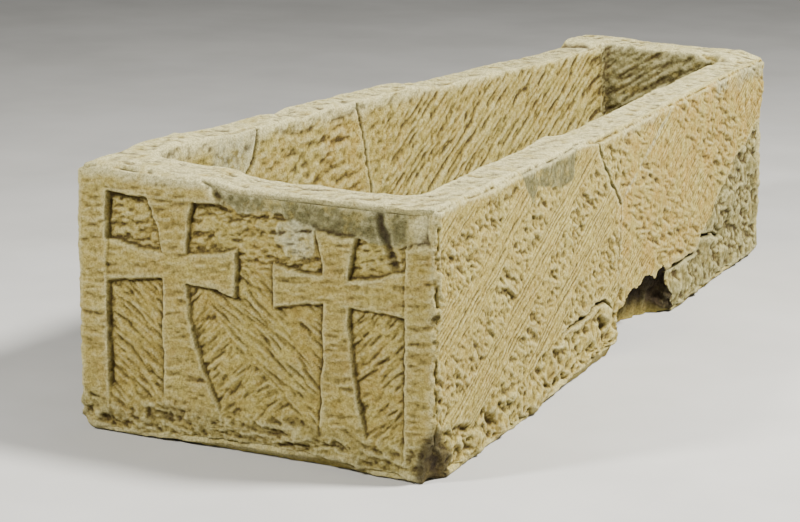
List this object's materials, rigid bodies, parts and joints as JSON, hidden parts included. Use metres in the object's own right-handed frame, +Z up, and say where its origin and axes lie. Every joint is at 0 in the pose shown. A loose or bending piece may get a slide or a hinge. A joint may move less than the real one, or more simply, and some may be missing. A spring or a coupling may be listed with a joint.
{
  "type": "stone sarcophagus",
  "caption": "Open stone burial trough, tapering from head to foot, with flared crosses in relief inside a raised frame on its head end; worn, cracked and broken, without a lid.",
  "frame": {"origin": "middle of the underside, on the surface it stands on", "axes": "+Z up, +Y from the head end to the foot end, +X to the right when facing the carved head end"},
  "size_m": [0.7624, 2.066, 0.5264],
  "materials": {
    "stone": "hand-dressed buff sandstone, rough, pitted and worn, with paler mortar and greyer breaks"
  },
  "bodies": {
    "root": {"sarcophagus_trough": "stone"}
  },
  "joints": []
}
